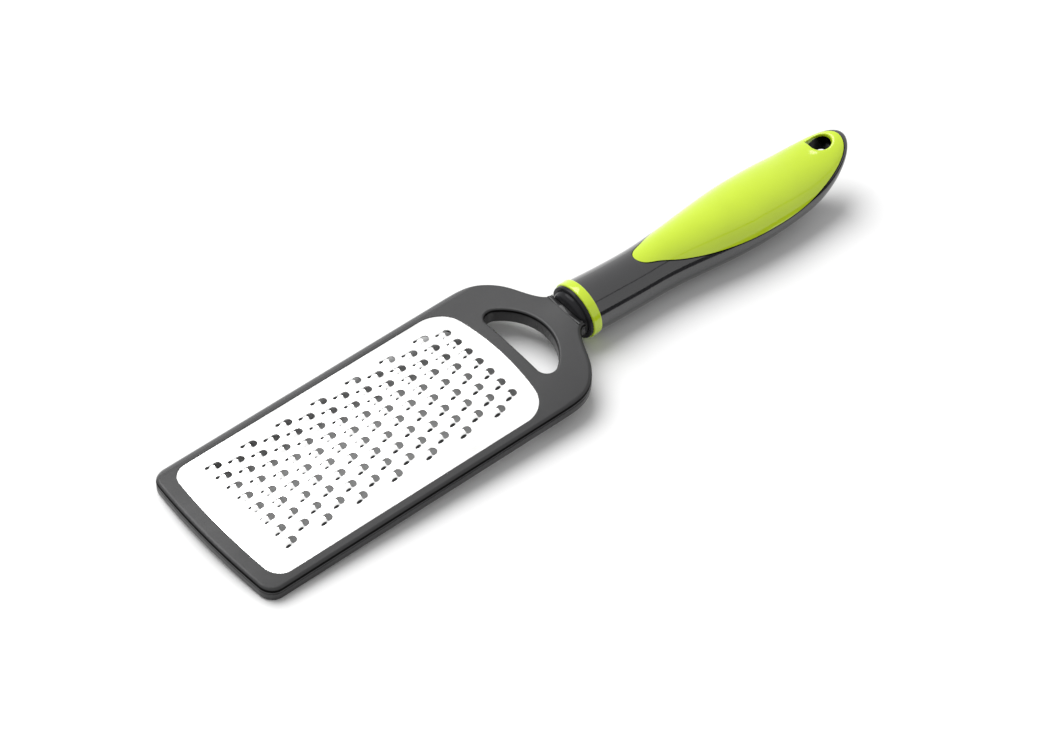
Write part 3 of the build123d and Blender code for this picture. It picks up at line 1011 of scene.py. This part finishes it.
def make_floor(albedo=0.9, glow=0.015):
    """White floor that keeps the object's shadow, with a slight glow of its own to the eye."""
    mesh = bpy.data.meshes.new("floor")
    half = FLOOR_SIZE / 2
    corners = [(x * half, y * half, FLOOR_LEVEL) for x, y in ((-1, -1), (1, -1), (1, 1), (-1, 1))]
    mesh.from_pydata(corners, [], [(0, 1, 2, 3)])
    floor = placed("floor", mesh)
    material = bpy.data.materials.new("floor_white")
    material.use_nodes = True
    nodes, links = material.node_tree.nodes, material.node_tree.links
    nodes.clear()
    paint = nodes.new("ShaderNodeBsdfDiffuse")
    paint.inputs["Color"].default_value = (albedo, albedo, albedo, 1.0)
    light = nodes.new("ShaderNodeEmission")
    strength = nodes.new("ShaderNodeMath")
    strength.operation = "MULTIPLY"
    strength.inputs[1].default_value = glow
    links.new(seen_directly(nodes, links), strength.inputs[0])
    links.new(strength.outputs[0], light.inputs["Strength"])
    both = nodes.new("ShaderNodeAddShader")
    links.new(paint.outputs[0], both.inputs[0])
    links.new(light.outputs[0], both.inputs[1])
    out = nodes.new("ShaderNodeOutputMaterial")
    links.new(both.outputs[0], out.inputs["Surface"])
    mesh.materials.append(material)


def make_world(scene, ambient=0.47):
    """White to the eye and in reflections, and a soft ambient light otherwise."""
    world = bpy.data.worlds.new("studio")
    world.use_nodes = True
    nodes, links = world.node_tree.nodes, world.node_tree.links
    background = nodes["Background"]
    strength = nodes.new("ShaderNodeMapRange")
    strength.inputs["To Min"].default_value = ambient
    strength.inputs["To Max"].default_value = 1.0
    links.new(seen_directly(nodes, links), strength.inputs["Value"])
    background.inputs["Color"].default_value = (1.0, 1.0, 1.0, 1.0)
    links.new(strength.outputs["Result"], background.inputs["Strength"])
    scene.world = world


def make_lamp(scene):
    """One broad soft light from above and behind the object, the same all over the floor."""
    data = bpy.data.lights.new("key_lamp", "SUN")
    data.angle = radians(LAMP_WIDTH)
    data.energy = scene.zester_colours.lamp_level
    lamp = placed("key_lamp", data)
    lamp.location = LAMP_PLACE
    lamp.rotation_euler = (-lamp.location).to_track_quat("-Z", "Y").to_euler()


def make_dark_cards():
    """Two dark cards for their reflection only: one on the floor, and a thin one up in the air."""
    mesh = bpy.data.meshes.new("dark_cards")
    mesh.from_pydata(FLOOR_CARD + AIR_CARD, [], [(0, 1, 2, 3), (4, 5, 6, 7)])
    paint = bpy.data.materials.new("card_paint")
    paint.use_nodes = True
    shader = paint.node_tree.nodes["Principled BSDF"]
    shader.inputs["Base Color"].default_value = (0.02, 0.02, 0.02, 1.0)
    shader.inputs["Roughness"].default_value = 0.9
    shader.inputs["Specular IOR Level"].default_value = 0.0
    mesh.materials.append(paint)
    cards = placed("dark_cards", mesh)
    for rays in ("camera", "diffuse", "shadow", "transmission"):
        setattr(cards, "visible_" + rays, False)


def make_camera(scene):
    """Camera in the place and the directions given over the level head, laid with the object."""
    place = Vector(lay(np.array(CAMERA_PLACE)))
    right = level_direction(CAMERA_RIGHT).normalized()
    look = level_direction(CAMERA_LOOK).normalized()
    up = right.cross(look).normalized()
    data = bpy.data.cameras.new("camera")
    data.sensor_width = SENSOR_WIDTH
    data.lens = LENS_PIXELS / PICTURE_PIXELS * SENSOR_WIDTH
    data.clip_end = 50.0
    camera = placed("camera", data)
    turn = Matrix((right, up, -look)).transposed()
    camera.matrix_world = Matrix.Translation(place) @ turn.to_4x4()
    scene.camera = camera


# Operators


def dress_green(scene, name, shell_of, node):
    """Make one green piece from the shell that a function gives for the sizes."""
    mesh = shell_mesh(name, shell_of(scene.zester_sizes))
    dressed(name, mesh, lime_plastic(scene.zester_colours.lime), node)


class ZESTER_OT_plate(bpy.types.Operator):
    """Make the steel plate with its scoop teeth"""

    bl_idname = "zester.plate"
    bl_label = "Scoop plate"

    def execute(self, context):
        scene = context.scene
        mesh = shell_mesh("scoop_plate", plate_shell(scene.zester_sizes), "tooth_place")
        material = polished_steel(scene.zester_colours.steel)
        dressed("scoop_plate", mesh, material, "grater_plate")
        return {"FINISHED"}


class ZESTER_OT_frame(bpy.types.Operator):
    """Dress the two halves of the head frame"""

    bl_idname = "zester.frame"
    bl_label = "Head frame"

    def execute(self, context):
        colours = context.scene.zester_colours
        matte = bezel_plastic(colours.frame_matte)
        satin_look = {"gloss": (0.3, 0.42), "grain": 4200.0, "depth": 0.00001}
        satin = moulded("satin_moulding", colours.frame_satin, **satin_look)
        for name, node, finish, slot_name in (
            ("matte_bezel", "front_bezel", matte, "frame_matte"),
            ("satin_frame", "rear_frame", satin, "frame_satin"),
        ):
            piece = dressed(name, joined_copy(node), finish.material, node, 32.0)
            weights = piece.modifiers.new("face_weights", "WEIGHTED_NORMAL")
            weights.keep_sharp = True
        return {"FINISHED"}


class ZESTER_OT_ring(bpy.types.Operator):
    """Make the green ring round the neck"""

    bl_idname = "zester.ring"
    bl_label = "Green ring"

    def execute(self, context):
        dress_green(context.scene, "lime_ring", ring_shell, "collar_ring")
        return {"FINISHED"}


class ZESTER_OT_cover(bpy.types.Operator):
    """Make the green cover of the handle"""

    bl_idname = "zester.cover"
    bl_label = "Green cover"

    def execute(self, context):
        dress_green(context.scene, "lime_cover", cover_shell, "grip_cover")
        return {"FINISHED"}


class ZESTER_OT_body(bpy.types.Operator):
    """Make the black body of the handle with its nose"""

    bl_idname = "zester.body"
    bl_label = "Handle body"

    def execute(self, context):
        scene = context.scene
        blank = shell_mesh("body_blank", body_shell(scene.zester_sizes), "seam_place")
        mesh = cut_through(blank, shell_mesh("eye_cutter", eye_cutter()))
        mesh.name = "black_handle"
        finish = handle_plastic(scene.zester_colours.handle_black)
        dressed("black_handle", mesh, finish, "handle_body")
        return {"FINISHED"}


class ZESTER_OT_screw(bpy.types.Operator):
    """Give the hidden screw its finish"""

    bl_idname = "zester.screw"
    bl_label = "Hidden screw"

    def execute(self, context):
        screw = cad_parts["tang_screw"]
        finish = screw_steel(context.scene.zester_colours.screw)
        for slot in screw.material_slots:
            slot.link = "OBJECT"
            slot.material = finish
        return {"FINISHED"}


class ZESTER_OT_stage(bpy.types.Operator):
    """Set the floor, the light, the background and the camera"""

    bl_idname = "zester.stage"
    bl_label = "Stage"

    def execute(self, context):
        scene = context.scene
        make_floor()
        make_world(scene)
        make_lamp(scene)
        make_dark_cards()
        make_camera(scene)
        scene.view_settings.view_transform = "Standard"
        return {"FINISHED"}


class ZESTER_PT_panel(bpy.types.Panel):
    """Buttons for the zester's pieces, and their sizes and colours"""

    bl_idname = "ZESTER_PT_panel"
    bl_label = "Rasp zester"
    bl_space_type = "VIEW_3D"
    bl_region_type = "UI"
    bl_category = "Zester"

    def draw(self, context):
        layout = self.layout
        for operator in OPERATORS:
            layout.operator(operator.bl_idname)
        for group in (context.scene.zester_sizes, context.scene.zester_colours):
            for name in group.__annotations__:
                layout.prop(group, name)


OPERATORS = (
    ZESTER_OT_plate,
    ZESTER_OT_frame,
    ZESTER_OT_ring,
    ZESTER_OT_cover,
    ZESTER_OT_body,
    ZESTER_OT_screw,
    ZESTER_OT_stage,
)
CLASSES = (ZesterSizes, ZesterColours, *OPERATORS, ZESTER_PT_panel)


def register():
    """Register the classes and hang the sizes and colours on the scene."""
    for item in CLASSES:
        bpy.utils.register_class(item)
    bpy.types.Scene.zester_sizes = bpy.props.PointerProperty(type=ZesterSizes)
    bpy.types.Scene.zester_colours = bpy.props.PointerProperty(type=ZesterColours)


def unregister():
    """Take everything off again."""
    del bpy.types.Scene.zester_colours
    del bpy.types.Scene.zester_sizes
    for item in reversed(CLASSES):
        bpy.utils.unregister_class(item)


def main():
    """Build every piece and the stage."""
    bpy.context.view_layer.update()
    register()
    for operator in OPERATORS:
        group, name = operator.bl_idname.split(".")
        getattr(getattr(bpy.ops, group), name)()


if __name__ == "__main__":
    main()
